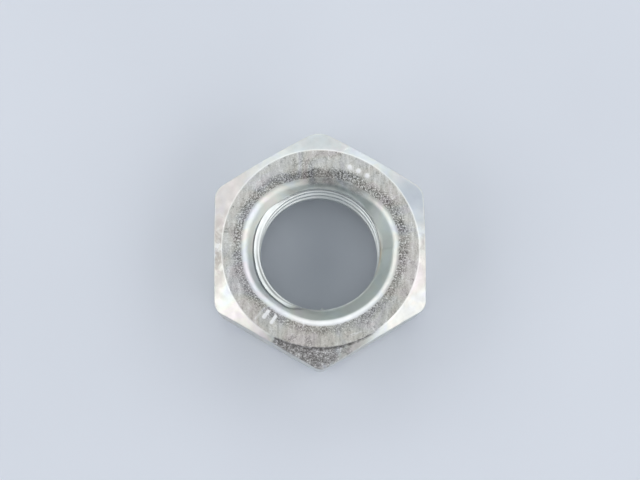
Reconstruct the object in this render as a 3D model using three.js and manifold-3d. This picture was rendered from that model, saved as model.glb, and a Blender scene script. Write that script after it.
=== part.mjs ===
import * as THREE from 'three';
import { mergeVertices } from 'three/addons/utils/BufferGeometryUtils.js';
import Module from 'manifold-3d';

// Thin hexagon nut, coarse metric thread, chamfered and countersunk at both ends.
// Millimetres. The lower bearing face lies on z = 0 and the thread axis is +Z.
// Two wrench flats face +X and -X, so two corners point to +Y and -Y.

const ACROSS_FLATS = 36.0;
const HEIGHT = 14.0;
const EDGE_RADIUS = 2.4; // rounding of the six upright edges
const EDGE_STEPS = 4;

const FACE_DIAMETER = 33.8; // bearing faces, inside the corner chamfer
const CHAMFER_ANGLE = 30.0; // degrees below the bearing face

const THREAD_MAJOR = 24.0;
const THREAD_MINOR = 20.752;
const THREAD_PITCH = 3.0;
const CREST_FLAT = THREAD_PITCH / 4;
const ROOT_FLAT = THREAD_PITCH / 8;
const THREAD_STEPS = 60; // steps in one turn
const THREAD_LOW = -6.883; // height of a crest's lower edge at azimuth 0
const THREAD_TURNS = 8;

const SINK_DIAMETER = 25.6; // mouth of the countersink, before its lip is rounded
const SINK_ANGLE = 90.0; // included
const LIP_WIDTH = 0.45; // rounding of the countersink's lip
const LIP_DROP = 0.16;

const ROUND_STEPS = 96;

const CORNER_STEP = 0.75; // depth of the under-filled corner at the face circle
const CORNER_SLOPE = 23.5; // degrees

const rad = (d) => (d * Math.PI) / 180;

const wasm = await Module();
wasm.setup();

function solid(geometry) {
  const g = geometry.index ? geometry.toNonIndexed() : geometry.clone();
  g.deleteAttribute('normal');
  g.deleteAttribute('uv');
  const m = mergeVertices(g, 1e-5);
  return new wasm.Manifold(
    new wasm.Mesh({
      numProp: 3,
      vertProperties: new Float32Array(m.attributes.position.array),
      triVerts: new Uint32Array(m.index.array),
    })
  );
}

function geometryOf(manifold) {
  const m = manifold.getMesh();
  const g = new THREE.BufferGeometry();
  g.setAttribute('position', new THREE.BufferAttribute(new Float32Array(m.vertProperties), 3));
  g.setIndex(new THREE.BufferAttribute(new Uint32Array(m.triVerts), 1));
  g.computeVertexNormals();
  return g;
}

// A profile of [radius, height] pairs turned about the thread axis.
function turned(profile, steps = ROUND_STEPS) {
  const points = profile.map(([r, z]) => new THREE.Vector2(r, z));
  const g = new THREE.LatheGeometry(points, steps);
  g.rotateX(Math.PI / 2);
  return solid(g);
}

function hexagonPrism() {
  const corner = ACROSS_FLATS / Math.sqrt(3);
  const centre = corner - EDGE_RADIUS / Math.cos(rad(30));
  const shape = new THREE.Shape();
  for (let i = 0; i < 6; i++) {
    const middle = rad(30 + 60 * i);
    for (let k = 0; k <= EDGE_STEPS; k++) {
      const a = middle + rad(-30 + (60 * k) / EDGE_STEPS);
      const x = centre * Math.cos(middle) + EDGE_RADIUS * Math.cos(a);
      const y = centre * Math.sin(middle) + EDGE_RADIUS * Math.sin(a);
      if (i === 0 && k === 0) shape.moveTo(x, y);
      else shape.lineTo(x, y);
    }
  }
  shape.closePath();
  return solid(new THREE.ExtrudeGeometry(shape, { depth: HEIGHT, bevelEnabled: false }));
}

function chamferEnvelope() {
  const r = FACE_DIAMETER / 2;
  const reach = 23;
  const drop = (reach - r) * Math.tan(rad(CHAMFER_ANGLE));
  return turned([
    [0, 0],
    [r, 0],
    [reach, drop],
    [reach, HEIGHT - drop],
    [r, HEIGHT],
    [0, HEIGHT],
  ]);
}

function countersink(top) {
  const r = SINK_DIAMETER / 2;
  const tan = Math.tan(rad(SINK_ANGLE / 2));
  const tip = r / tan;
  // heights measured down into the nut from its face
  const profile = [
    [0, tip],
    [r - LIP_WIDTH * 0.55, (LIP_WIDTH * 0.55) / tan + LIP_DROP * 0.35],
    [r + LIP_WIDTH * 0.15, LIP_DROP * 0.45],
    [r + LIP_WIDTH, 0],
    [r + LIP_WIDTH, -2],
    [0, -2],
  ];
  const placed = top
    ? profile.map(([a, d]) => [a, HEIGHT - d])
    : profile.map(([a, d]) => [a, d]).reverse();
  return turned(placed);
}

// The thread's hollow as a solid: a helix-following skin closed by two fans beyond the faces.
function tapSolid() {
  const minor = THREAD_MINOR / 2;
  const major = THREAD_MAJOR / 2;
  const flank = (THREAD_PITCH - CREST_FLAT - ROOT_FLAT) / 2;
  const profile = [
    [minor, 0],
    [minor, CREST_FLAT],
    [major, CREST_FLAT + flank],
    [major, CREST_FLAT + flank + ROOT_FLAT],
  ];
  const m = profile.length;
  const rows = m * THREAD_TURNS + 1;
  const positions = [];
  const at = (i, k) => i * rows + k;
  // column N repeats column 0 one pitch higher, so it uses column 0's own points
  for (let i = 0; i < THREAD_STEPS; i++) {
    const a = (i / THREAD_STEPS) * 2 * Math.PI;
    for (let k = 0; k < rows; k++) {
      const [r, dz] = profile[k % m];
      const z = THREAD_LOW + THREAD_PITCH * (i / THREAD_STEPS + Math.floor(k / m)) + dz;
      positions.push(r * Math.cos(a), r * Math.sin(a), z);
    }
  }
  const index = [];
  const quad = (a, b, c, d) => index.push(a, b, c, a, c, d);
  for (let i = 0; i < THREAD_STEPS - 1; i++)
    for (let k = 0; k < rows - 1; k++) quad(at(i, k), at(i + 1, k), at(i + 1, k + 1), at(i, k + 1));
  const last = THREAD_STEPS - 1;
  for (let k = 0; k < rows - 1 - m; k++)
    quad(at(last, k), at(0, k + m), at(0, k + m + 1), at(last, k + 1));
  // the last column's top pitch has no neighbour; its upper edge steps down to column 0's end
  const low = positions.length / 3;
  positions.push(0, 0, THREAD_LOW - 6);
  const high = low + 1;
  positions.push(0, 0, THREAD_LOW + THREAD_PITCH * THREAD_TURNS + 6);
  const bottom = [];
  for (let i = 0; i < THREAD_STEPS; i++) bottom.push(at(i, 0));
  for (let k = m; k > 0; k--) bottom.push(at(0, k));
  for (let j = 0; j < bottom.length; j++)
    index.push(low, bottom[(j + 1) % bottom.length], bottom[j]);
  const upper = [];
  for (let i = 0; i < THREAD_STEPS; i++) upper.push(at(i, rows - 1));
  for (let k = rows - 2; k >= rows - 1 - m; k--) upper.push(at(last, k));
  // upper now ends on the last column, level with the end of the seam
  for (let j = 0; j < upper.length - 1; j++) index.push(high, upper[j], upper[j + 1]);
  index.push(high, upper[upper.length - 1], at(0, rows - 1));
  const g = new THREE.BufferGeometry();
  g.setAttribute('position', new THREE.Float32BufferAttribute(positions, 3));
  g.setIndex(index);
  return solid(g);
}

// The corner at -Y was not filled in forging: its chamfer lies below the others.
function underfilledCorner() {
  const r = FACE_DIAMETER / 2;
  const ring = turned([
    [r, HEIGHT - 5],
    [r + 8, HEIGHT - 5],
    [r + 8, HEIGHT + 3],
    [r, HEIGHT + 3],
    [r, HEIGHT - 5],
  ]);
  const g = new THREE.BoxGeometry(40, 16, 8);
  g.translate(0, 0, 4);
  g.rotateX(rad(CORNER_SLOPE));
  g.translate(0, -r, HEIGHT - CORNER_STEP);
  const front = new THREE.BoxGeometry(40, 12, 20);
  front.translate(0, -r - 6 + 2.4, HEIGHT);
  return ring.intersect(solid(g)).intersect(solid(front));
}

const nut = hexagonPrism()
  .intersect(chamferEnvelope())
  .subtract(underfilledCorner())
  .subtract(countersink(true))
  .subtract(countersink(false))
  .subtract(tapSolid());

const steel = new THREE.MeshStandardMaterial({ color: 0xaeb0ae, metalness: 0.9, roughness: 0.42 });
const mesh = new THREE.Mesh(geometryOf(nut), steel);
mesh.name = 'hex_nut';

const part = new THREE.Group();
part.name = 'hex_nut_assembly';
part.add(mesh);

export default part;
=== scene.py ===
import math

import bpy
import numpy as np
from mathutils import Euler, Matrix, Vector


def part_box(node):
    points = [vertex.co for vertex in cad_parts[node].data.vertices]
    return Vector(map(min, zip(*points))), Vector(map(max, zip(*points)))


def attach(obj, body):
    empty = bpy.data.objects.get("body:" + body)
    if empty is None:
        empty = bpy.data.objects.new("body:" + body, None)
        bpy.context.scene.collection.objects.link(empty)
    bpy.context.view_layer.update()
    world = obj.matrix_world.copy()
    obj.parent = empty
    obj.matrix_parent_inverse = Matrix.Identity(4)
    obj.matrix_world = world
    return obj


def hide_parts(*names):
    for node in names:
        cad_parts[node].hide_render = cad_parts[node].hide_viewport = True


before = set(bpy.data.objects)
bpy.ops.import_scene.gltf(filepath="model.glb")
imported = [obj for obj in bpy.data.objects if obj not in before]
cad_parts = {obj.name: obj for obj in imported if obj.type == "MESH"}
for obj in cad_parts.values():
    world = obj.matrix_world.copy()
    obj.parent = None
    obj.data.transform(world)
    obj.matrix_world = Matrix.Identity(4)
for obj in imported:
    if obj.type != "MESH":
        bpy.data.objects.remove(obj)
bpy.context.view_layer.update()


# ---------------------------------------------------------------- dimensions, in millimetres
MM = 0.001
LOW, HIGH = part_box("hex_nut")
H = round((HIGH.z - LOW.z) / MM, 3)
AF = round((HIGH.x - LOW.x) / MM, 3)
APOTHEM = AF / 2
FACE_R = 16.9
TAN30 = math.tan(math.radians(30))
MAJOR_R, MINOR_R, PITCH = 12.0, 10.376, 3.0
THREAD_LOW = -6.883
LIP_SLOPE, CONE_SLOPE, LIP_W = 0.24, 1.03, 1.25  # the lip rolls over into the countersink
MOUTH = 0.80  # depth at which the bore's rows take over from the face's rows
N = 576  # steps round the axis


# ---------------------------------------------------------------- smooth seeded noise
def _lattice(ix, iy, iz, seed):
    h = (ix * 374761393 + iy * 668265263 + iz * 1442695041 + seed * 1274126177) & 0xFFFFFFFF
    h = ((h ^ (h >> 13)) * 1274126177) & 0xFFFFFFFF
    h = h ^ (h >> 16)
    return (h & 0xFFFFFF) / float(0xFFFFFF) * 2.0 - 1.0


def noise(x, y, z, size, seed):
    """Value noise from -1 to 1 with cells of the given size in millimetres."""
    x, y, z = x / size + 311.7, y / size + 173.3, z / size + 97.1
    ix, iy, iz = np.floor(x).astype(np.int64), np.floor(y).astype(np.int64), np.floor(z).astype(np.int64)
    fx, fy, fz = x - ix, y - iy, z - iz
    ux, uy, uz = (f * f * f * (f * (f * 6 - 15) + 10) for f in (fx, fy, fz))
    out = 0.0
    for dx in (0, 1):
        wx = ux if dx else 1 - ux
        for dy in (0, 1):
            wy = uy if dy else 1 - uy
            for dz in (0, 1):
                wz = uz if dz else 1 - uz
                out = out + wx * wy * wz * _lattice(ix + dx, iy + dy, iz + dz, seed)
    return out


def fbm(x, y, z, size, seed, octaves=3, fall=0.55):
    total, amp, norm = 0.0, 1.0, 0.0
    for k in range(octaves):
        total = total + amp * noise(x, y, z, size / 2**k, seed + 17 * k)
        norm += amp
        amp *= fall
    return total / norm


def step(a, b, x):
    t = np.clip((x - a) / (b - a), 0.0, 1.0)
    return t * t * (3 - 2 * t)


def softplus(t):
    return np.where(t > 30, t, np.log1p(np.exp(np.minimum(t, 30))))


def round_table(angles, values):
    """Smooth periodic function of azimuth in degrees through the given values."""
    a = np.mod(np.array(angles, float), 360.0)
    v = np.array(values, float)
    o = np.argsort(a)
    a, v = a[o], v[o]

    def f(deg):
        d = np.mod(deg, 360.0)
        aa = np.concatenate([a[-2:] - 360, a, a[:2] + 360])
        vv = np.concatenate([v[-2:], v, v[:2]])
        k = np.clip(np.searchsorted(aa, d, side="right") - 1, 1, len(aa) - 3)
        t = (d - aa[k]) / (aa[k + 1] - aa[k])
        h = aa[k + 1] - aa[k]
        m0 = (vv[k + 1] - vv[k - 1]) / (aa[k + 1] - aa[k - 1]) * h
        m1 = (vv[k + 2] - vv[k]) / (aa[k + 2] - aa[k]) * h
        t2, t3 = t * t, t * t * t
        return (2 * t3 - 3 * t2 + 1) * vv[k] + (t3 - 2 * t2 + t) * m0 + (-2 * t3 + 3 * t2) * vv[k + 1] + (t3 - t2) * m1

    return f


# ---------------------------------------------------------------- shape functions of azimuth
PHI = np.arange(N) / N * 2 * math.pi
DEG = np.degrees(PHI)


def hex_radius(deg):
    """Outline of the hexagon with rounded upright edges."""
    k = np.floor(np.mod(deg, 360.0) / 60.0).astype(int)
    psi = np.radians(np.mod(deg, 60.0) - 30.0)
    rho = np.array([2.6, 3.4, 2.6, 2.3, 1.9, 2.2])[k]
    c = (AF / math.sqrt(3)) - rho / math.cos(math.radians(30))
    psi0 = np.arctan2(rho / 2, c + rho * math.cos(math.radians(30)))
    flat = APOTHEM / np.cos(math.radians(30) - np.abs(psi))
    arc = c * np.cos(psi) + np.sqrt(np.maximum(rho**2 - (c * np.sin(psi)) ** 2, 0))
    return np.where(np.abs(psi) > psi0, flat, arc)


R_HEX = hex_radius(DEG)
# countersink mouth: pressed a little out of round
mouth_top = round_table(
    [-4, -19, -33, -48, -62, -76, -90, -104, -118, -132, -147, -162, -177, 168, 155, 141, 131, 120, 110, 99, 89, 73, 57, 47, 37, 27, 11],
    [13.42, 13.50, 13.50, 13.46, 13.47, 13.58, 13.65, 13.58, 13.45, 13.46, 13.56, 13.50, 13.40, 13.44, 13.45, 13.31, 13.04, 12.75, 12.44, 12.24, 12.17, 12.17, 12.27, 12.54, 12.96, 13.28, 13.52],
)(DEG) + 0.05 * noise(PHI * 9, 0 * PHI, 0 * PHI, 1.7, 5)
mouth_top = mouth_top - 0.27 * np.exp(-(((np.mod(DEG + 280.0, 360.0) - 180.0) / 38.0) ** 2))
mouth_top = mouth_top - 0.12 * np.exp(-(((np.mod(DEG + 75.0, 360.0) - 180.0) / 25.0) ** 2))
mouth_low = 13.15 + 0.18 * np.cos(np.radians(2 * DEG + 40)) + 0.08 * np.cos(np.radians(3 * DEG))
face_top = round_table(
    [-178, 167, 151, 136, 120, 89, 58, 27, -3, -33, -62, -90, -118, -147],
    [16.61, 16.62, 16.68, 16.74, 16.82, 16.86, 16.78, 16.76, 16.84, 16.93, 16.97, 16.98, 16.98, 16.86],
)(DEG) + 0.02 * noise(PHI * 9, 0 * PHI, 0 * PHI, 1.1, 6)
face_low = FACE_R + 0.05 * np.cos(np.radians(2 * DEG - 20)) + 0.03 * np.cos(np.radians(4 * DEG))


def wrap180(d):
    return np.mod(d + 180.0, 360.0) - 180.0


# how far the corner at -Y stayed under-filled, along the azimuth
def sink_depth(deg):
    return round_table(
        [-150, -128, -118, -108, -100, -90, -80, -70, -62, -54, -40, 0, 90, 180],
        [0, 0, 0.12, 0.55, 0.78, 0.85, 0.80, 0.55, 0.28, 0.08, 0, 0, 0, 0],
    )(deg)


def rough_corner(x, y):
    """1 on the rough forged skin of the corner at -Y."""
    deg = np.degrees(np.arctan2(y, x))
    d = wrap180(deg + 98)
    ragged = 6.5 * noise(x, y, 0 * x, 1.5, 71) + 4.0 * noise(x, y, 0 * x, 0.45, 72)
    return step(26, 15, np.abs(d) + ragged)


# ---------------------------------------------------------------- pressed marks, plain bars and dots
def bar(x, y, cx, cy, turn, length, width):
    a = math.radians(turn)
    u = (x - cx) * math.cos(a) + (y - cy) * math.sin(a)
    v = -(x - cx) * math.sin(a) + (y - cy) * math.cos(a)
    d = np.hypot(np.maximum(np.abs(u) - length / 2, 0), v)
    return step(width * 0.78, width * 0.28, d)


def polar_mark(radius, azimuth, turn, length, width):
    a = math.radians(azimuth)
    return (radius * math.cos(a), radius * math.sin(a), azimuth + turn, length, width)


# three equal dots in a row along the ring, and two equal radial bars
MARKS = [
    polar_mark(14.75, 56.5, 0, 0.05, 0.72),
    polar_mark(14.75, 63.0, 0, 0.05, 0.72),
    polar_mark(14.75, 69.5, 0, 0.05, 0.72),
    polar_mark(14.55, 231.0, 0, 1.25, 0.50),
    polar_mark(14.55, 237.0, 0, 1.25, 0.50),
]


def marks(x, y):
    m = 0.0
    for cx, cy, turn, length, width in MARKS:
        m = np.maximum(m, bar(x, y, cx, cy, turn, length, width))
    return m


SCRATCHES = [
    # x, y, turn, length, half width, depth
    (-2.9, -13.0, 84, 1.1, 0.10, 0.06),
    (4.6, 17.1, 40, 0.5, 0.08, 0.06),
    (5.4, -15.0, 22, 2.0, 0.06, 0.03),
    (9.6, 12.9, 105, 2.3, 0.05, 0.02),
    (-14.3, 2.6, 80, 1.1, 0.05, 0.03),
    (-13.8, 4.6, 70, 0.9, 0.05, 0.03),
    (-13.4, 5.9, 60, 1.0, 0.05, 0.04),
    (15.6, -2.3, 10, 1.2, 0.05, 0.03),
    (1.4, 15.2, 15, 1.4, 0.05, 0.02),
    (-12.0, -9.6, 130, 1.3, 0.05, 0.03),
    (-10.2, -11.13, 227.5, 2.3, 0.16, -0.04),
    (5.9, -14.6, 16, 1.9, 0.07, -0.05),
    (12.9, 8.6, 36, 1.5, 0.05, 0.03),
    (13.4, 8.2, 33, 1.2, 0.05, 0.03),
    (12.3, 9.4, 28, 1.0, 0.05, 0.03),
    (-9.2, 12.9, 112, 1.3, 0.05, 0.03),
    (-12.4, 8.6, 150, 1.2, 0.05, 0.03),
    (-4.8, 14.6, 98, 1.1, 0.05, 0.03),
    (14.9, -5.8, -30, 1.1, 0.05, 0.03),
]


def scratches(x, y):
    s = 0.0
    for cx, cy, turn, length, width, depth in SCRATCHES:
        s = s + depth * bar(x, y, cx, cy, turn, length, width * 1.8)
    return s


# ---------------------------------------------------------------- heights of the two ends
LIP_CURVE = (CONE_SLOPE - LIP_SLOPE) / (2 * LIP_W)
LIP_DEPTH = LIP_SLOPE * LIP_W + LIP_CURVE * LIP_W**2


def sink_profile(t):
    """Depth of the countersink t millimetres inside its mouth."""
    inside = np.minimum(t, LIP_W)
    return LIP_SLOPE * inside + LIP_CURVE * inside**2 + CONE_SLOPE * np.maximum(t - LIP_W, 0)


def end_height(r, x, y, mouth, face, top):
    """Depth of an end surface below its bearing face, in millimetres."""
    t = 0.05 * softplus((mouth - r) / 0.05)
    cone = sink_profile(t)
    chamfer = TAN30 * 0.07 * softplus((r - face) / 0.07)
    d = cone + chamfer
    if not top:
        flat = step(0.0, 0.5, r - mouth) * step(0.05, -0.3, r - face)
        return d + flat * (0.010 * fbm(x, y, 0 * x, 0.6, 401) + 0.015) + 0.015 * (1 - flat) * (
            fbm(x, y, 0 * x, 1.6, 402) * step(-1.2, -0.7, r - mouth)
        )
    deg = np.degrees(np.arctan2(y, x))
    reach = np.clip((r - face) / np.maximum(hex_radius(deg) - face, 0.3), 0, 1)
    sink = sink_depth(deg) * step(-0.02, 0.22, r - face) * (1 - 0.62 * reach)
    rough = rough_corner(x, y)
    d = d + sink
    d = d + rough * step(-0.05, 0.25, r - face) * (
        0.10 * fbm(x, y, 0 * x, 0.9, 31, 3, 0.8) - 0.09 * np.abs(fbm(x, y, 0 * x, 0.45, 33))
    )
    flat = step(0.05, 0.55, r - mouth) * step(0.02, -0.25, r - face)
    inner = step(1.9, 0.1, r - mouth)
    # pitted skin of the pressed face, deeper beside the countersink
    pits = np.maximum(-fbm(x, y, 0 * x, 0.42, 11, 2, 0.6) - 0.12, 0)
    d = d + flat * (0.010 + 0.075 * inner) * pits * 1.6 + flat * 0.012 * fbm(x, y, 0 * x, 2.2, 13)
    # the face rises in a low burr beside the under-filled corner
    d = d - 0.05 * step(-70, -60, -np.abs(wrap180(deg + 62)) - 40) * np.exp(-(((r - face + 0.18) / 0.2) ** 2))
    d = d - flat * 0.15 * marks(x, y)
    d = d + scratches(x, y)
    # shallow waves in the countersink and its lip
    lipzone = step(-1.25, -0.7, r - mouth) * step(0.7, 0.2, r - mouth)
    d = d + 0.035 * lipzone * fbm(x * 0.5, y * 0.5, 0 * x, 1.4, 15)
    return d


def cone_radius(depth, mouth):
    """Inverse of the countersink's depth."""
    shallow = (-LIP_SLOPE + np.sqrt(LIP_SLOPE**2 + 4 * LIP_CURVE * np.minimum(depth, LIP_DEPTH))) / (2 * LIP_CURVE)
    return mouth - shallow - np.maximum(depth - LIP_DEPTH, 0) / CONE_SLOPE


# ---------------------------------------------------------------- thread
CREST, ROOT = PITCH / 4, PITCH / 8
FLANK = (PITCH - CREST - ROOT) / 2


def thread_radius(phase, burr):
    """Radius of the threaded wall; phase is the height above a crest's lower edge, in one pitch."""
    p = np.mod(phase, PITCH)
    e = 0.02
    rise = softplus((p - CREST) / e) * e - softplus((p - CREST - FLANK) / e) * e
    fall = softplus((p - CREST - FLANK - ROOT) / e) * e - softplus((p - PITCH) / e) * e
    r = MINOR_R + (rise - fall) / FLANK * (MAJOR_R - MINOR_R)
    # the crest's lower edge keeps a fine burr
    near = np.where(p > PITCH / 2, p - PITCH, p)
    lip = 0.03 * burr * np.exp(-(((near - 0.05) / 0.10) ** 2))
    return r - lip


def bore_radius(deg, z, phase, i):
    depth_top, depth_low = H - z, z
    r_top = cone_radius(np.clip(depth_top, 0.02, 9.0), mouth_top[i])
    r_low = cone_radius(np.clip(depth_low, 0.02, 9.0), mouth_low[i])
    x, y = 10.4 * np.cos(PHI[i]), 10.4 * np.sin(PHI[i])
    burr = 0.45 + 0.55 * fbm(x, y, z, 1.5, 53)
    tap = thread_radius(phase, burr) - MINOR_R
    fade = step(MOUTH + 0.02, MOUTH + 0.35, depth_top) * step(MOUTH + 0.02, MOUTH + 0.35, depth_low)
    # the top turn runs out into the countersink at the front, and is not seen beyond it
    w = np.mod(deg + 107.0, 360.0)
    first = 1.9 - PITCH * w / 360.0
    gone = step(8.0, 16.0, w) * step(first + 1.5, first + 1.2, depth_top)
    v = wrap180(deg + 107.0)
    centre = 1.9 - PITCH * v / 360.0
    tail = step(-28.0, 14.0, v) * (v < 20.0) * step(centre + 1.5, centre + 1.2, depth_top)
    gone = np.maximum(gone, tail)
    r_tap = MINOR_R + tap * fade * (1 - gone)
    # small burr left where a turn breaks out at the front
    d = wrap180(deg + 88)
    r_tap = r_tap - 0.42 * np.exp(-((d / 1.3) ** 2) - ((depth_top - 3.25) / 0.28) ** 2)
    e = 0.035
    m = np.maximum(np.maximum(r_top, r_low), r_tap)
    out = m + e * np.log(
        np.exp((r_top - m) / e) + np.exp((r_low - m) / e) + np.exp((r_tap - m) / e)
    )
    edge = step(MOUTH, MOUTH + 0.3, depth_top) * step(MOUTH, MOUTH + 0.3, depth_low)
    return m + (out - m) * edge


def build_nut():
    z_top, z_low = H - MOUTH, MOUTH
    points, ids_next = [], 0

    def add(x, y, z):
        nonlocal ids_next
        first = ids_next
        points.append(np.stack([x, y, z], 1))
        ids_next += len(x)
        return np.arange(first, ids_next)

    col = np.arange(N)
    faces = []

    def grid(upper, nxt_col_upper, lower, nxt_col_lower):
        quads = np.stack([lower, upper, nxt_col_upper, nxt_col_lower], 1)
        faces.append(quads)

    # rings where the bore meets the two ends
    def ring(r, z):
        return add(r * np.cos(PHI), r * np.sin(PHI), z)

    r_t = cone_radius(np.full(N, MOUTH), mouth_top)
    r_b = cone_radius(np.full(N, MOUTH), mouth_low)
    top_ring = ring(r_t, np.full(N, z_top))
    low_ring = ring(r_b, np.full(N, z_low))

    # ---- bore: rows follow the helix, and are held at the two rings
    frac = [0.0, 0.07, 0.40, 0.715, 0.765, 0.83, 0.90, 0.98, 1.14, 1.45, 1.66, 1.72, 2.03, 2.10, 2.50, 2.93]
    m = len(frac)
    pitches = int(math.ceil((H + 2 * PITCH - THREAD_LOW) / PITCH)) + 1
    offsets = np.array([p * PITCH + f for p in range(pitches) for f in frac])
    K = len(offsets)
    idb = np.zeros((N, K), dtype=np.int64)
    for k in range(K):
        z = THREAD_LOW + PITCH * PHI / (2 * math.pi) + offsets[k]
        above, below = z >= z_top - 0.02, z <= z_low + 0.02
        free = ~(above | below)
        idb[above, k] = top_ring[above]
        idb[below, k] = low_ring[below]
        if free.any():
            i = col[free]
            r = bore_radius(DEG[free], z[free], np.full(free.sum(), offsets[k]), i)
            edge = step(0.0, 0.3, z_top - z[free]) * step(0.0, 0.3, z[free] - z_low)
            wobble = 0.012 * edge * fbm(r * np.cos(PHI[i]), r * np.sin(PHI[i]), z[free], 1.2, 51)
            r = r + wobble
            idb[free, k] = add(r * np.cos(PHI[i]), r * np.sin(PHI[i]), z[free])
    nxt = np.roll(idb, -1, axis=0)
    seam = np.concatenate([idb[0, m:], np.full(m, top_ring[0])])
    nxt[N - 1] = seam
    for k in range(K - 1):
        grid(idb[:, k + 1], nxt[:, k + 1], idb[:, k], nxt[:, k])

    # ---- outer surface, from the top ring out, down the sides and back in to the low ring
    ring_ids = [top_ring]

    def end_rows(mouth, face, r_start, top, inner_rows, outer_rows):
        """Radii of the rows from the countersink's wall out to just inside the hexagon."""
        lip_rows = 9 if top else 6
        rows = [r_start + (mouth + 0.04 - r_start) * k / lip_rows for k in range(1, lip_rows + 1)]
        u = np.linspace(0, 1, inner_rows + 1)[1:]
        rows += [mouth + 0.04 + (face - 0.30 - mouth - 0.04) * t for t in u]
        rows += [face + o for o in (-0.2, -0.12, -0.06, -0.01, 0.04, 0.10, 0.17, 0.26)]
        rho = 0.22
        edge_in = R_HEX - rho * math.sin(math.radians(30)) - 0.004
        v = np.linspace(0, 1, outer_rows + 1)[1:]
        start = face + 0.26
        rows += [start + (edge_in - start) * t for t in v]
        return rows

    def surface_row(r, mouth, face, top):
        x, y = r * np.cos(PHI), r * np.sin(PHI)
        d = end_height(r, x, y, mouth, face, top)
        return (H - d) if top else d

    def edge_rows(mouth, face, top):
        """The rounded edge between the chamfer and the upright flats."""
        rho = 0.22
        out = []
        base = surface_row(R_HEX - 0.11, mouth, face, top)
        sgn = 1 if top else -1
        for a in (45, 30, 15, 0):
            r = R_HEX - rho + rho * math.cos(math.radians(a))
            drop = rho * (math.sin(math.radians(60)) - math.sin(math.radians(a)))
            out.append((r, base - sgn * drop))
        return out

    rows = end_rows(mouth_top, face_top, r_t, True, 26, 13)
    for r in rows:
        ring_ids.append(ring(r, surface_row(r, mouth_top, face_top, True)))
    te = edge_rows(mouth_top, face_top, True)
    be = edge_rows(mouth_low, face_low, False)
    for r, z in te:
        ring_ids.append(ring(r, z))
    zt, zb = te[-1][1], be[-1][1]
    side = 9
    for j in range(1, side):
        t = j / side
        z = zt + (zb - zt) * t
        x, y = R_HEX * np.cos(PHI), R_HEX * np.sin(PHI)
        wave = 0.03 * fbm(x, y, z, 5.0, 61) * math.sin(math.pi * t) + 0.012 * fbm(x, y, z, 1.0, 62)
        ring_ids.append(ring(R_HEX + wave, z))
    for r, z in reversed(be):
        ring_ids.append(ring(r, z))
    low_rows = end_rows(mouth_low, face_low, r_b, False, 9, 6)
    for r in reversed(low_rows):
        ring_ids.append(ring(r, surface_row(r, mouth_low, face_low, False)))
    ring_ids.append(low_ring)
    for a, b in zip(ring_ids, ring_ids[1:]):
        # a is nearer the top ring; going outward, then down, then inward
        faces.append(np.stack([a, b, np.roll(b, -1), np.roll(a, -1)], 1))

    pts = np.concatenate(points)
    quads = np.concatenate(faces)
    # drop repeated corners
    clean, used = [], np.zeros(len(pts), bool)
    same = (
        (quads[:, 0] == quads[:, 1])
        | (quads[:, 1] == quads[:, 2])
        | (quads[:, 2] == quads[:, 3])
        | (quads[:, 3] == quads[:, 0])
    )
    clean.extend(quads[~same].tolist())
    for q in quads[same].tolist():
        p = []
        for v in q:
            if not p or p[-1] != v:
                p.append(v)
        if len(p) > 1 and p[0] == p[-1]:
            p.pop()
        if len(set(p)) >= 3:
            clean.append(p)
    for p in clean:
        used[p] = True
    remap = np.cumsum(used) - 1
    pts = pts[used]
    clean = [[int(remap[v]) for v in p] for p in clean]
    mesh = bpy.data.meshes.new("nut_forged")
    mesh.from_pydata((pts * MM).tolist(), [], clean)
    mesh.validate()
    mesh.update()
    mesh.polygons.foreach_set("use_smooth", np.ones(len(mesh.polygons), bool))
    return mesh, pts


mesh, pts = build_nut()
nut = bpy.data.objects.new("nut_forged", mesh)
bpy.context.scene.collection.objects.link(nut)


# ---------------------------------------------------------------- masks for the finish
def interp_round(values, deg):
    return np.interp(np.mod(deg, 360.0), np.append(DEG, 360.0), np.append(values, values[0]))


X, Y, Z = pts[:, 0], pts[:, 1], pts[:, 2]
R = np.hypot(X, Y)
A = np.degrees(np.arctan2(Y, X))
mt, ml = interp_round(mouth_top, A), interp_round(mouth_low, A)
ft, fl = interp_round(face_top, A), interp_round(face_low, A)
upper = Z > H * 0.5
mouth_v, face_v = np.where(upper, mt, ml), np.where(upper, ft, fl)
depth = np.where(upper, H - Z, Z)
hexv = hex_radius(A)
in_mouth = R - mouth_v
on_end = step(0.9, 0.45, depth) * step(-0.16, 0.10, in_mouth + 0.10 * noise(X, Y, Z, 0.45, 91))
flat = on_end * step(0.05, -0.12, R - face_v)
darker = 0.5 + 0.5 * np.cos(np.radians(wrap180(A - 75) * 0.9)) * (np.abs(wrap180(A - 75)) < 200)
reach = 1.75 + 0.55 * darker + 0.5 * fbm(X, Y, Z, 1.6, 92)
inner = flat * step(0.0, -1.1, in_mouth - reach) * (0.72 + 0.28 * darker)
lip = step(-1.15, -0.75, in_mouth) * step(0.16, -0.12, in_mouth) * step(1.2, 0.7, depth)
cone = step(-0.7, -1.1, in_mouth) * step(MINOR_R - 0.1, MINOR_R + 0.35, R) * step(3.0, 2.2, depth)
bore = step(-0.4, -0.9, in_mouth) * (1 - lip) * (1 - cone)
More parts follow.
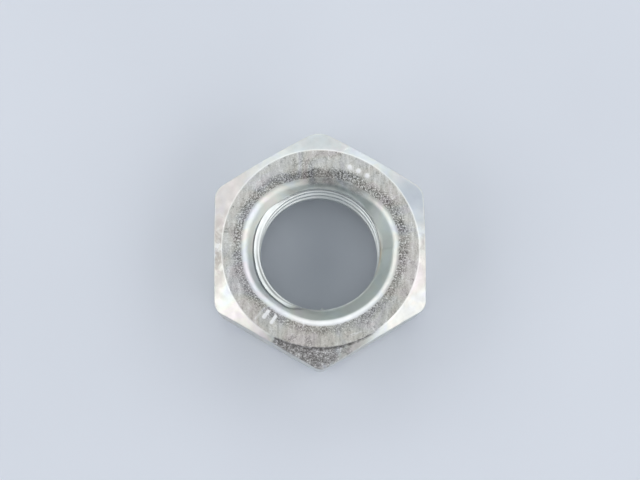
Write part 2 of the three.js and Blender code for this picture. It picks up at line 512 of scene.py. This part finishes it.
# painted highlight: on two stretches of the upper countersink the darker film is faded out, so the cone reads lighter
# where the lamps' reflection falls
film_less_highlight = 1 - upper * (0.85 * np.exp(-((wrap180(A - 152) / 48.0) ** 2)) + 0.6 * np.exp(-((wrap180(A + 122) / 20.0) ** 2)))
chamfer = step(-0.05, 0.15, R - face_v) * step(-0.02, -0.25, R - hexv) * step(3.4, 2.8, depth)
side = step(-0.3, -0.06, R - hexv) * step(0.6, 1.1, depth)
ragged_end = 3.0 + 1.3 * fbm(X, Y, Z, 1.9, 96) + 0.6 * noise(X, Y, Z, 0.5, 97) - 0.012 * wrap180(A + 98) ** 2 * 0.25
under = np.where(upper, rough_corner(X, Y), 0) * step(-0.12, 0.06, R - face_v) * step(ragged_end + 0.35, ragged_end - 0.35, depth)
# painted shadow: dark lines along the step of the under-filled corner, where its wall lies in shade
shadow_line = np.where(upper, step(0.0, 0.3, sink_depth(A)), 0) * np.exp(-(((R - face_v - 0.05) / 0.16) ** 2))
step_shadow_line = np.where(upper, step(0.05, 0.45, sink_depth(A)), 0) * step(-0.10, 0.0, R - face_v) * step(0.42, 0.26, R - face_v)
warm = chamfer * (np.exp(-((wrap180(A - 152) / 30.0) ** 2)) + 0.55 * np.exp(-((wrap180(A + 30) / 26.0) ** 2)))
cool = chamfer * (np.exp(-((wrap180(A - 28) / 20.0) ** 2)) + 0.62 * np.exp(-((wrap180(A - 90) / 24.0) ** 2)))
shade = inner * np.exp(-((wrap180(A - 92) / 27.0) ** 2)) * step(2.4, 0.6, in_mouth)
# painted dark reflection: a dark, ragged patch on the upper lip and countersink at about 60 to 100 degrees, standing
# for the reflection of a dark surrounding
dark_reflection = 0.85 * np.exp(-((wrap180(A - 68) / 20.0) ** 2)) + 0.75 * np.exp(-((wrap180(A - 93) / 11.0) ** 2))
dark_reflection = np.clip(dark_reflection * (1 + 0.7 * fbm(X, Y, 0 * X, 1.3, 95)), 0, 1)
dark_reflection_end = -1.25 + 0.55 * fbm(X, Y, 0 * X, 1.1, 98)
dark_reflection = np.where(upper, dark_reflection, 0) * step(dark_reflection_end - 0.5, dark_reflection_end + 0.5, in_mouth) * step(0.5, 0.1, in_mouth)
dark_reflection = dark_reflection * step(2.3, 1.5, H - Z)
phase = np.mod(Z - THREAD_LOW - PITCH * np.mod(A, 360.0) / 360.0, PITCH)
# painted shade in the thread roots: a dark line in the groove near -150 degrees, and one along the highest full turn
thread_root_shade = bore * np.exp(-(((phase - 0.98) / 0.09) ** 2)) * step(4.4, 3.2, H - Z) * np.exp(-((wrap180(A + 150) / 45.0) ** 2))
# the highest full turn keeps a dark line where its root is shaded
along = np.mod(-(A + 107.0), 360.0)
turn_depth = 1.9 + PITCH * along / 360.0
dark_from = 0.76 + 0.15 * np.clip(np.sin(np.radians(A)), 0, 1) + 0.02 * np.clip(np.cos(np.radians(A)), 0, 1)
root = step(dark_from - 0.05, dark_from + 0.03, phase) * step(2.7, 2.2, phase)
root = root * step(1.7, 1.4, np.abs(H - Z - turn_depth)) * step(112, 150, along) * step(290, 250, along)
thread_root_shade = np.maximum(thread_root_shade, root * step(-0.4, -0.9, in_mouth))
brown = chamfer * (np.exp(-((wrap180(A - 182) / 17.0) ** 2)) + 0.6 * np.exp(-((wrap180(A) / 16.0) ** 2)))
# painted shade: the flat face is painted darker towards -Y
front = flat * step(-1.0, -13.0, Y)
# painted highlight: a bright line along the edge between the flat face and the chamfer
rim_highlight = np.exp(-(((R - face_v - 0.10) / 0.10) ** 2)) * (1 - under) * (1 - shadow_line)
# painted sheen: marks and scratches are later painted near white for the shine of their smooth surfaces
mark = np.where(upper, marks(X, Y), 0) * flat
scr = np.where(upper, np.clip(np.abs(scratches(X, Y)) * 11, 0, 0.55), 0) * step(2.0, 1.0, depth)
gold = bore * np.exp(-((wrap180(A + 6) / 13.0) ** 2)) * step(4.2, 2.2, np.abs(H - Z - 1.0))
masks = {
    "m_flat": flat,
    "m_inner": inner,
    "m_lip": lip,
    "m_cone": cone * film_less_highlight,
    "m_bore": bore,
    "m_chamfer": chamfer,
    "m_side": side,
    # the rough corner's crust, together with the painted shadow along its step
    "m_crust_and_step_shadow": np.maximum(under, 0.9 * shadow_line),
    "m_rim_highlight": rim_highlight,
    "m_mark_sheen": np.maximum(mark, scr),
    "m_gold": gold,
    "m_step_shadow": step_shadow_line,
    "m_warm": warm,
    "m_cool": cool,
    "m_shade": shade,
    "m_dark_reflection": dark_reflection,
    "m_thread_root_shade": thread_root_shade,
    "m_front_shade": front,
    # painted highlight: a pale stretch of the upper lip at about -78 degrees
    "m_lip_highlight": lip * upper * np.exp(-((wrap180(A + 78) / 46.0) ** 2)),
    "m_brown": brown,
}
for name, values in masks.items():
    attr = mesh.attributes.new(name, "FLOAT", "POINT")
    attr.data.foreach_set("value", np.asarray(values, np.float32))


# ---------------------------------------------------------------- zinc-plated steel
def zinc_material():
    mat = bpy.data.materials.new("zinc_plated_steel")
    mat.use_nodes = True
    nt = mat.node_tree
    nt.nodes.clear()
    out = nt.nodes.new("ShaderNodeOutputMaterial")
    bsdf = nt.nodes.new("ShaderNodeBsdfPrincipled")
    nt.links.new(bsdf.outputs["BSDF"], out.inputs["Surface"])
    coords = nt.nodes.new("ShaderNodeTexCoord").outputs["Object"]

    def attribute(name):
        n = nt.nodes.new("ShaderNodeAttribute")
        n.attribute_name = name
        return n.outputs["Fac"]

    def math_(op, a, b=None, c=None, clamp=False):
        n = nt.nodes.new("ShaderNodeMath")
        n.operation = op
        n.use_clamp = clamp
        for i, v in enumerate((a, b, c)):
            if v is None:
                continue
            if isinstance(v, (int, float)):
                n.inputs[i].default_value = v
            else:
                nt.links.new(v, n.inputs[i])
        return n.outputs[0]

    def noise_(scale, detail=2.0, rough=0.5, distortion=0.0, vector=None, stretch=None):
        v = vector or coords
        if stretch is not None:
            mp = nt.nodes.new("ShaderNodeMapping")
            mp.inputs["Scale"].default_value = stretch
            nt.links.new(v, mp.inputs["Vector"])
            v = mp.outputs["Vector"]
        n = nt.nodes.new("ShaderNodeTexNoise")
        n.inputs["Scale"].default_value = scale
        n.inputs["Detail"].default_value = detail
        n.inputs["Roughness"].default_value = rough
        n.inputs["Distortion"].default_value = distortion
        nt.links.new(v, n.inputs["Vector"])
        return n.outputs["Fac"]

    def ramp(value, stops):
        n = nt.nodes.new("ShaderNodeValToRGB")
        e = n.color_ramp.elements
        e[0].position, e[0].color = stops[0][0], (*stops[0][1], 1)
        e[1].position, e[1].color = stops[-1][0], (*stops[-1][1], 1)
        for pos, colour in stops[1:-1]:
            s = e.new(pos)
            s.color = (*colour, 1)
        nt.links.new(value, n.inputs["Fac"])
        return n.outputs["Color"]

    def remap(value, a, b, c, d):
        n = nt.nodes.new("ShaderNodeMapRange")
        n.inputs["From Min"].default_value = a
        n.inputs["From Max"].default_value = b
        n.inputs["To Min"].default_value = c
        n.inputs["To Max"].default_value = d
        nt.links.new(value, n.inputs["Value"])
        return n.outputs["Result"]

    def mix(fac, a, b, mode="MIX"):
        n = nt.nodes.new("ShaderNodeMix")
        n.data_type = "RGBA"
        n.blend_type = mode
        n.clamp_factor = True
        for sock, v in ((n.inputs["Factor"], fac), (n.inputs["A"], a), (n.inputs["B"], b)):
            pass
        factor = n.inputs[0]
        a_in, b_in = [s for s in n.inputs if s.name in "AB" and s.type == "RGBA"]
        for sock, v in ((factor, fac), (a_in, a), (b_in, b)):
            if isinstance(v, (int, float)):
                sock.default_value = v
            elif isinstance(v, tuple):
                sock.default_value = (*v, 1)
            else:
                nt.links.new(v, sock)
        return [s for s in n.outputs if s.type == "RGBA"][0]

    flat_, inner_, lip_ = attribute("m_flat"), attribute("m_inner"), attribute("m_lip")
    cone_, bore_, chamfer_ = attribute("m_cone"), attribute("m_bore"), attribute("m_chamfer")
    side_, crust_and_step_shadow_, mark_sheen_ = attribute("m_side"), attribute("m_crust_and_step_shadow"), attribute("m_mark_sheen")
    rim_highlight_, gold_, step_shadow_ = attribute("m_rim_highlight"), attribute("m_gold"), attribute("m_step_shadow")
    warm_, cool_, shade_ = attribute("m_warm"), attribute("m_cool"), attribute("m_shade")
    front_shade_, lip_highlight_ = attribute("m_front_shade"), attribute("m_lip_highlight")
    dark_reflection_, thread_root_shade_, brown_ = attribute("m_dark_reflection"), attribute("m_thread_root_shade"), attribute("m_brown")

    # base: pale zinc whose thin passivate drifts between yellow, green, pink and blue
    drift = noise_(170, 3, 0.55, 0.8)
    tint = ramp(
        drift,
        [
            (0.32, (0.82, 0.725, 0.73)),
            (0.41, (0.82, 0.775, 0.68)),
            (0.48, (0.765, 0.79, 0.69)),
            (0.54, (0.74, 0.80, 0.76)),
            (0.60, (0.72, 0.76, 0.82)),
            (0.68, (0.80, 0.735, 0.78)),
        ],
    )
    # skin of the pressed faces: a fine black and white grain beside the bore, calmer outside
    fine = noise_(6600, 2, 0.6)
    middle = noise_(3500, 2, 0.55)
    grain = math_("ADD", math_("MULTIPLY", fine, 0.58), math_("MULTIPLY", middle, 0.42))
    dull = ramp(
        grain,
        [
            (0.39, (0.035, 0.033, 0.034)),
            (0.45, (0.14, 0.135, 0.132)),
            (0.50, (0.265, 0.258, 0.250)),
            (0.55, (0.50, 0.49, 0.475)),
            (0.61, (0.96, 0.95, 0.93)),
        ],
    )
    streak = noise_(1500, 3, 0.6, 0.0, None, (1, 0.22, 1))
    soft = math_("ADD", math_("MULTIPLY", grain, 0.5), math_("MULTIPLY", streak, 0.5))
    calm = ramp(
        soft,
        [(0.37, (0.39, 0.38, 0.365)), (0.46, (0.59, 0.573, 0.545)), (0.54, (0.70, 0.683, 0.65)), (0.63, (0.92, 0.91, 0.875))],
    )
    patches = noise_(420, 3, 0.6)
    dark_amount = math_("MULTIPLY", inner_, remap(patches, 0.34, 0.54, 0.55, 1.0), clamp=True)
    stray = math_("MULTIPLY", remap(noise_(520, 3, 0.65), 0.55, 0.66, 0.0, 0.55), math_("SUBTRACT", 1.0, inner_))
    skin = mix(math_("MAXIMUM", dark_amount, stray), calm, dull)
    skin = mix(math_("MULTIPLY", shade_, 0.68), skin, mix(1.0, skin, (0.36, 0.34, 0.36), "MULTIPLY"))
    # painted shade: the flat face darker towards -Y
    skin = mix(math_("MULTIPLY", front_shade_, 0.6), skin, mix(1.0, skin, (0.80, 0.785, 0.765), "MULTIPLY"))
    skin = mix(0.55, skin, mix(1.0, skin, tint, "SOFT_LIGHT"))
    tinted = mix(0.62, (0.76, 0.765, 0.755), tint)
    # the countersink and bore carry a greener, slightly darker film, faded out on two stretches of the upper
    # countersink as a painted highlight
    tinted = mix(math_("MULTIPLY", cone_, 0.75), tinted, (0.375, 0.43, 0.415))
    tinted = mix(math_("MULTIPLY", bore_, 0.85), tinted, (0.90, 0.93, 0.915))
    tinted = mix(math_("MULTIPLY", gold_, 0.75), tinted, (0.84, 0.70, 0.45))
    # painted shade: the thread roots darkened where they lie in shadow
    tinted = mix(math_("MULTIPLY", thread_root_shade_, 0.85), tinted, (0.11, 0.12, 0.12))
    tinted = mix(math_("MULTIPLY", warm_, 0.7), tinted, (0.585, 0.53, 0.52))
    mottle = remap(noise_(620, 4, 0.65, 0.5), 0.40, 0.60, 0.15, 0.95)
    tinted = mix(math_("MULTIPLY", brown_, mottle), tinted, (0.33, 0.295, 0.265))
    tinted = mix(math_("MULTIPLY", cool_, 0.9), tinted, (0.43, 0.468, 0.52))
    # painted highlight: a pale stretch of the upper lip at about -78 degrees
    tinted = mix(math_("MULTIPLY", lip_highlight_, 0.85), tinted, (0.95, 0.95, 0.955))
    # painted dark reflection: the upper lip and countersink darkened at about 60 to 100 degrees
    dark_reflection_colour = mix(1.0, dull, (0.46, 0.44, 0.47), "MULTIPLY")
    tinted = mix(math_("MULTIPLY", dark_reflection_, remap(patches, 0.36, 0.56, 0.28, 0.72)), tinted, dark_reflection_colour)
    colour = mix(flat_, tinted, skin)
    crust = ramp(
        math_("ADD", math_("MULTIPLY", noise_(4600, 3, 0.65), 0.56), math_("MULTIPLY", noise_(1500, 3, 0.6, 0.6), 0.44)),
        [(0.37, (0.06, 0.056, 0.054)), (0.45, (0.19, 0.18, 0.175)), (0.52, (0.40, 0.385, 0.375)), (0.61, (0.82, 0.81, 0.80))],
    )
    # the rough corner's dark crust, with the painted shadow along the under-filled step
    colour = mix(math_("MULTIPLY", crust_and_step_shadow_, 0.93), colour, crust)
    # painted shadow: a very dark, broken line on the step wall of the under-filled corner
    broken = remap(noise_(1500, 3, 0.65), 0.36, 0.58, 1.0, 0.35)
    colour = mix(math_("MULTIPLY", step_shadow_, math_("MULTIPLY", broken, 0.8)), colour, (0.075, 0.068, 0.06))
    # painted highlight along the edge of the flat face
    colour = mix(math_("MULTIPLY", rim_highlight_, 0.55), colour, (0.93, 0.925, 0.89))
    # painted sheen: the raised marks and scratches painted near white, standing for the shine of their smooth surfaces
    colour = mix(math_("MULTIPLY", mark_sheen_, 0.95), colour, (0.985, 0.985, 0.98))
    # thin brown-grey stains on the flats, chamfers and lip
    stain = remap(noise_(260, 5, 0.62, 0.15), 0.50, 0.72, 0.0, 0.42)
    drawn = remap(noise_(1300, 3, 0.6, 0.0, None, (1, 1, 0.05)), 0.38, 0.62, 0.0, 1.0)
    colour = mix(math_("MULTIPLY", math_("MULTIPLY", side_, drawn), 0.34), colour, (0.50, 0.515, 0.505))
    colour = mix(math_("MULTIPLY", side_, math_("SUBTRACT", 0.30, math_("MULTIPLY", crust_and_step_shadow_, 0.30))), colour, (0.58, 0.605, 0.59))
    where = math_("ADD", side_, math_("MULTIPLY", chamfer_, 0.45))
    where = math_("ADD", where, math_("MULTIPLY", lip_, 0.25), clamp=True)
    colour = mix(math_("MULTIPLY", stain, where), colour, (0.36, 0.345, 0.32))
    nt.links.new(colour, bsdf.inputs["Base Color"])

    metal = math_("SUBTRACT", 1.0, math_("MULTIPLY", flat_, 0.50))
    metal = math_("SUBTRACT", metal, math_("MULTIPLY", mark_sheen_, 0.42))
    metal = math_("SUBTRACT", metal, math_("MULTIPLY", crust_and_step_shadow_, 0.55), clamp=True)
    nt.links.new(metal, bsdf.inputs["Metallic"])
    bsdf.inputs["IOR"].default_value = 1.6
    # roughness
    r0 = remap(noise_(700, 3, 0.6), 0.3, 0.7, 0.37, 0.52)
    r1 = math_("MULTIPLY_ADD", flat_, 0.12, r0)
    r1 = math_("MULTIPLY_ADD", crust_and_step_shadow_, 0.28, r1)
    r1 = math_("MULTIPLY_ADD", lip_, 0.04, r1)
    r1 = math_("MULTIPLY_ADD", bore_, 0.06, r1)
    r1 = math_("MULTIPLY_ADD", mark_sheen_, -0.14, r1, clamp=True)
    nt.links.new(r1, bsdf.inputs["Roughness"])

    # bump: fine pits on the faces, drawn lines on the flats, a faint orange peel elsewhere
    peel = math_("MULTIPLY", noise_(1600, 2, 0.5), 0.16)
    pit = math_("MULTIPLY", math_("MULTIPLY", grain, flat_), math_("MULTIPLY_ADD", inner_, 0.75, 0.30))
    lines = math_("MULTIPLY", math_("MULTIPLY", noise_(1500, 3, 0.6, 0.0, None, (1, 1, 0.06)), side_), 0.5)
    crustb = math_("MULTIPLY", math_("MULTIPLY", noise_(2200, 4, 0.7), crust_and_step_shadow_), 1.3)
    height = math_("ADD", math_("ADD", peel, pit), math_("ADD", lines, crustb))
    bump = nt.nodes.new("ShaderNodeBump")
    bump.inputs["Strength"].default_value = 0.7
    bump.inputs["Distance"].default_value = 0.00007
    nt.links.new(height, bump.inputs["Height"])
    nt.links.new(bump.outputs["Normal"], bsdf.inputs["Normal"])
    return mat


mesh.materials.append(zinc_material())
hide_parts("hex_nut")
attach(nut, "root")


# ---------------------------------------------------------------- floor
def floor_material():
    mat = bpy.data.materials.new("pale_floor")
    mat.use_nodes = True
    nt = mat.node_tree
    bsdf = nt.nodes["Principled BSDF"]
    tc = nt.nodes.new("ShaderNodeTexCoord")
    n = nt.nodes.new("ShaderNodeTexNoise")
    n.inputs["Scale"].default_value = 14
    n.inputs["Detail"].default_value = 3
    nt.links.new(tc.outputs["Object"], n.inputs["Vector"])
    cr = nt.nodes.new("ShaderNodeValToRGB")
    cr.color_ramp.elements[0].position = 0.3
    cr.color_ramp.elements[0].color = (0.745, 0.775, 0.83, 1)
    cr.color_ramp.elements[1].position = 0.7
    cr.color_ramp.elements[1].color = (0.775, 0.805, 0.86, 1)
    nt.links.new(n.outputs["Fac"], cr.inputs["Fac"])
    nt.links.new(cr.outputs["Color"], bsdf.inputs["Base Color"])
    bsdf.inputs["Roughness"].default_value = 0.8
    return mat


def floor_object():
    steps, radius = 96, 6.0
    verts = [(0, 0, 0)]
    rings = (0.1, 0.5, 2.0, radius)
    for r in rings:
        verts += [(r * math.cos(2 * math.pi * k / steps), r * math.sin(2 * math.pi * k / steps), 0) for k in range(steps)]
    faces = [(0, 1 + k, 1 + (k + 1) % steps) for k in range(steps)]
    for j in range(len(rings) - 1):
        a, b = 1 + j * steps, 1 + (j + 1) * steps
        faces += [(a + k, b + k, b + (k + 1) % steps, a + (k + 1) % steps) for k in range(steps)]
    m = bpy.data.meshes.new("floor")
    m.from_pydata(verts, [], faces)
    m.update()
    o = bpy.data.objects.new("floor", m)
    o.location.z = -0.00002
    bpy.context.scene.collection.objects.link(o)
    m.materials.append(floor_material())
    return o


floor_object()


# ---------------------------------------------------------------- light
def area_light(name, azimuth, elevation, distance, width, height, power, colour=(1, 1, 1)):
    data = bpy.data.lights.new(name, "AREA")
    data.shape = "RECTANGLE" if width != height else "DISK"
    data.size = width
    data.size_y = height
    data.energy = power
    data.color = colour
    o = bpy.data.objects.new(name, data)
    a, e = math.radians(azimuth), math.radians(elevation)
    d = Vector((math.cos(a) * math.cos(e), math.sin(a) * math.cos(e), math.sin(e)))
    o.location = d * distance
    # local Y stays upright, so the width runs level
    o.rotation_euler = d.to_track_quat("Z", "Y").to_euler()
    o.visible_camera = False
    bpy.context.scene.collection.objects.link(o)
    return o


area_light("soft_left", -155, 29, 0.95, 0.84, 0.84, 2.3)
area_light("soft_right", -50, 29, 0.95, 0.84, 0.84, 2.15)
area_light("fill_left", 163, 29, 1.1, 0.84, 0.84, 2.05)
area_light("fill_right", 3, 29, 1.1, 1.2, 0.84, 4.1)
area_light("soft_back", 90, 26, 1.3, 3.0, 1.1, 10.8, (0.98, 1.0, 0.99))

world = bpy.data.worlds.new("studio")
bpy.context.scene.world = world
world.use_nodes = True
bg = world.node_tree.nodes["Background"]
bg.inputs["Color"].default_value = (0.84, 0.90, 1.0, 1)
bg.inputs["Strength"].default_value = 0.36

# ---------------------------------------------------------------- camera
cam_data = bpy.data.cameras.new("camera")
cam = bpy.data.objects.new("camera", cam_data)
bpy.context.scene.collection.objects.link(cam)
cam_data.lens = 69.79
cam_data.sensor_width = 36
cam_data.clip_start, cam_data.clip_end = 0.01, 30
cam.location = Vector((-3.952, -30.784, 208.0 + 14.0)) * MM
cam.rotation_euler = Euler((math.radians(8.762), math.radians(-1.014), math.radians(-0.493)), "XYZ")
bpy.context.scene.camera = cam

bpy.context.scene.view_settings.view_transform = "Standard"
bpy.context.scene.view_settings.look = "None"
